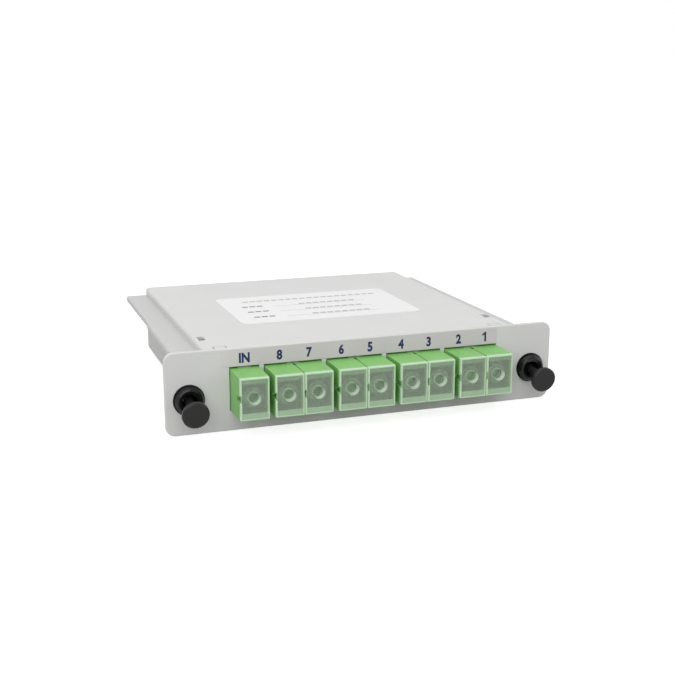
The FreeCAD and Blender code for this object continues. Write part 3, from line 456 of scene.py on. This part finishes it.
def letters(text):
    """Flat mesh of a short text in its own plane, centred, as high as a mark."""
    curve = bpy.data.curves.new("letters", "FONT")
    curve.body = text
    curve.resolution_u = LETTER_STEPS
    curve.offset = MARK_WEIGHT
    curve.extrude = LETTER_DEPTH / 2
    writing = bpy.data.objects.new("letters", curve)
    bpy.context.scene.collection.objects.link(writing)
    bpy.context.view_layer.update()
    mesh = bpy.data.meshes.new_from_object(writing)
    bpy.data.objects.remove(writing)
    shape = bmesh.new()
    shape.from_mesh(mesh)
    bpy.data.meshes.remove(mesh)
    low = [min(vertex.co[axis] for vertex in shape.verts) for axis in range(2)]
    high = [max(vertex.co[axis] for vertex in shape.verts) for axis in range(2)]
    centre = Vector(((low[0] + high[0]) / 2, (low[1] + high[1]) / 2, 0))
    factor = MARK_HEIGHT / (high[1] - low[1])
    scale = Matrix.Diagonal((factor * MARK_NARROW, factor, MARK_THICKNESS / LETTER_DEPTH, 1.0))
    bmesh.ops.transform(shape, matrix=scale @ Matrix.Translation(-centre), verts=shape.verts)
    return shape


def figure_one():
    """Flat mesh of the figure 1, a bar with a slanted flag, centred on its bar."""
    half = ONE_WIDTH / 2
    outline = [(-half, -0.5), (half, -0.5), (half, 0.5), (-ONE_TIP, 0.5),
               (-ONE_FLAG, 0.5 - ONE_FLAG_DROP), (-ONE_FLAG, 0.5 - 2 * ONE_FLAG_DROP),
               (-half, 0.5 - ONE_FLAG_ROOT)]
    shape = bmesh.new()
    corners = [shape.verts.new((across * MARK_HEIGHT, up * MARK_HEIGHT, -MARK_THICKNESS / 2))
               for across, up in outline]
    shape.faces.new(corners)
    shape.normal_update()
    grown = bmesh.ops.extrude_face_region(shape, geom=list(shape.faces))
    front = [item for item in grown["geom"] if isinstance(item, bmesh.types.BMVert)]
    bmesh.ops.translate(shape, verts=front, vec=(0, 0, MARK_THICKNESS))
    bmesh.ops.recalc_face_normals(shape, faces=list(shape.faces))
    return shape


def add_port_marks():
    """Number over each output port and the word IN over the input port, printed on the film."""
    blue = ink("mark_ink", (0.002, 0.008, 0.085))
    strip_low, strip_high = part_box("number_strip")
    level = (strip_low.z + strip_high.z) / 2 - MARK_DROP
    upright = Matrix.Rotation(math.pi / 2, 4, "X")
    for port in PORTS:
        low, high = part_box(f"dust_cap_{port}")
        across = (low.x + high.x) / 2
        if port != "in":
            across += MARK_SHIFT + (MARK_SPREAD if int(port) % 2 else -MARK_SPREAD)
        place = Matrix.Translation((across, strip_low.y - MARK_THICKNESS / 2, level))
        shape = figure_one() if port == "1" else letters(port.upper())
        bmesh.ops.transform(shape, matrix=place @ upright, verts=shape.verts)
        new_piece(f"port_mark_{port}", shape, blue)


def add_block(shape, low, high):
    """Box between two corners, added to a bmesh."""
    size = [high[axis] - low[axis] for axis in range(3)]
    middle = [(high[axis] + low[axis]) / 2 for axis in range(3)]
    matrix = Matrix.Translation(middle) @ Matrix.Diagonal((*size, 1.0))
    bmesh.ops.create_cube(shape, size=1.0, matrix=matrix)


def add_label_form():
    """Blank form on the label: a dashed title and rows of a short name, an entry and a rule."""
    low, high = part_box("top_label")

    def across(share):
        return low.x + share * (high.x - low.x)

    def add_dashes(shape, ends, level, height, dash, gap):
        """Row of dashes between two shares of the width."""
        start, end = (across(share) for share in ends)
        line = high.y - level * (high.y - low.y)
        count = round((end - start) / (dash + gap))
        for number in range(count):
            left = start + number * (dash + gap)
            add_block(shape, (left, line - height / 2, high.z),
                      (left + dash, line + height / 2, high.z + MARK_THICKNESS))

    names = bmesh.new()
    entries = bmesh.new()
    add_dashes(entries, FORM_TITLE, FORM_TITLE_LEVEL, FORM_HEIGHT, FORM_DASH, FORM_DASH_GAP)
    rule_length = across(FORM_RULE[1]) - across(FORM_RULE[0])
    for level in FORM_ROW_LEVELS:
        add_dashes(names, FORM_NAME, level, FORM_HEIGHT, FORM_DASH, FORM_DASH_GAP)
        add_dashes(entries, FORM_ENTRY, level, FORM_HEIGHT, FORM_DASH, FORM_DASH_GAP)
        under = level + FORM_HEIGHT / (high.y - low.y)
        add_dashes(entries, FORM_RULE, under, FORM_RULE_HEIGHT, rule_length, 0.0)
    new_piece("label_names", names, ink("name_ink", (0.2, 0.2, 0.2)))
    new_piece("label_entries", entries, ink("entry_ink", (0.4, 0.4, 0.4)))


def add_screw_crosses():
    """Flat dark cross on each screw head at the back, painted shade standing in for its cross
    recess.
    """
    dark = ink("recess_shadow", (0.02, 0.02, 0.02))
    low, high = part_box("cover_screws")
    level = (low.z + high.z) / 2
    head_radius = (high.z - low.z) / 2
    for side, middle in zip(SIDES, (low.x + head_radius, high.x - head_radius)):
        shape = bmesh.new()
        for width, height in ((CROSS_LENGTH, CROSS_WIDTH), (CROSS_WIDTH, CROSS_LENGTH)):
            add_block(shape,
                      (middle - width / 2, high.y - CROSS_THICKNESS, level - height / 2),
                      (middle + width / 2, high.y, level + height / 2))
        new_piece(f"screw_cross_{side}", shape, dark)


# ---------------------------------------------------------------- stage, light and camera

# The floor lies just under the object. Its lift is the glow that makes it read as white.
FLOOR_SIZE = 6.0
FLOOR_GAP = 0.2 * MM
FLOOR_COLOUR = 0.38
FLOOR_LIFT = 0.8

# Strength of the surroundings as light. They are full white where they are seen.
WORLD_LIGHT = 0.6

# Name, place, width, height and watts of each lamp, and the point that all of them face.
LAMPS = (
    ("overhead", (-0.1, 0.1, 0.9), 1.0, 0.8, 2.4),
    ("front_left", (-0.32, -0.55, 0.42), 0.9, 0.6, 3.65),
    ("right_fill", (0.9, -0.5, 0.4), 0.5, 0.5, 1.0),
)
LAMP_TARGET = (0.0, 0.0, 0.015)

# The turn is to the right of straight back and the dip is below level, both in degrees. The
# lens and the sensor are in millimetres.
CAMERA_PLACE = (-0.1210, -0.365125, 0.1100)
CAMERA_TURN = 19.2
CAMERA_DIP = 13.9
CAMERA_LENS = 59.35
CAMERA_SENSOR = 36.0
CAMERA_NEAR = 0.01


def seen_directly(tree):
    """1 for a ray that the camera sees, straight or by a mirror or glass, and 0 for any other."""
    rays = add_node(tree, "ShaderNodeLightPath", {}).outputs
    straight_or_mirror = calculate(tree, "MAXIMUM", rays["Is Camera Ray"], rays["Is Glossy Ray"])
    return calculate(tree, "MAXIMUM", straight_or_mirror, rays["Is Transmission Ray"])


def floor_white():
    """Matt grey that keeps the soft shadow, lifted to white where it is seen."""
    material = bpy.data.materials.new("floor_white")
    material.use_nodes = True
    tree = material.node_tree
    tree.nodes.clear()
    out = add_node(tree, "ShaderNodeOutputMaterial", {})
    grey = (FLOOR_COLOUR, FLOOR_COLOUR, FLOOR_COLOUR, 1.0)
    matt = add_node(tree, "ShaderNodeBsdfDiffuse", {"Color": grey})
    lift = calculate(tree, "MULTIPLY", seen_directly(tree), FLOOR_LIFT)
    glow = add_node(tree, "ShaderNodeEmission",
                    {"Color": (1.0, 1.0, 1.0, 1.0), "Strength": lift})
    both = add_node(tree, "ShaderNodeAddShader",
                    {0: matt.outputs["BSDF"], 1: glow.outputs["Emission"]})
    tree.links.new(both.outputs["Shader"], out.inputs["Surface"])
    return material


def add_floor():
    """Square floor under the object."""
    shape = bmesh.new()
    bmesh.ops.create_grid(shape, x_segments=1, y_segments=1, size=FLOOR_SIZE / 2)
    bmesh.ops.translate(shape, verts=shape.verts, vec=(0, 0, -FLOOR_GAP))
    mesh = bpy.data.meshes.new("floor")
    shape.to_mesh(mesh)
    shape.free()
    floor = bpy.data.objects.new("floor", mesh)
    bpy.context.scene.collection.objects.link(floor)
    mesh.materials.append(floor_white())


def add_world():
    """White surroundings: full white where seen, and a plain level as light."""
    world = bpy.data.worlds.new("studio")
    bpy.context.scene.world = world
    world.use_nodes = True
    tree = world.node_tree
    tree.nodes.clear()
    out = add_node(tree, "ShaderNodeOutputWorld", {})
    strength = ramp(tree, seen_directly(tree), 0.0, 1.0, WORLD_LIGHT, 1.0)
    white = add_node(tree, "ShaderNodeBackground",
                     {"Color": (1.0, 1.0, 1.0, 1.0), "Strength": strength})
    tree.links.new(white.outputs["Background"], out.inputs["Surface"])


def add_softbox(name, place, width, height, power):
    """Large rectangular lamp that faces the lamps' target."""
    lamp = bpy.data.lights.new(name, "AREA")
    lamp.shape = "RECTANGLE"
    lamp.size = width
    lamp.size_y = height
    lamp.energy = power
    box = bpy.data.objects.new(name, lamp)
    box.location = place
    aim = Vector(LAMP_TARGET) - Vector(place)
    box.rotation_euler = aim.to_track_quat("-Z", "Y").to_euler()
    bpy.context.scene.collection.objects.link(box)


def add_lights():
    """Broad lamp overhead, a second from the front left and a weak fill from the right."""
    for lamp in LAMPS:
        add_softbox(*lamp)


def add_camera():
    """Camera at the level and angle of the product view."""
    data = bpy.data.cameras.new("camera")
    data.lens = CAMERA_LENS
    data.sensor_width = CAMERA_SENSOR
    data.clip_start = CAMERA_NEAR
    camera = bpy.data.objects.new("camera", data)
    camera.location = CAMERA_PLACE
    camera.rotation_euler = (math.radians(90 - CAMERA_DIP), 0.0, math.radians(-CAMERA_TURN))
    bpy.context.scene.collection.objects.link(camera)
    bpy.context.scene.camera = camera


dress_nodes()
add_port_marks()
add_label_form()
add_screw_crosses()
add_floor()
add_world()
add_lights()
add_camera()
bpy.context.scene.view_settings.view_transform = "Standard"
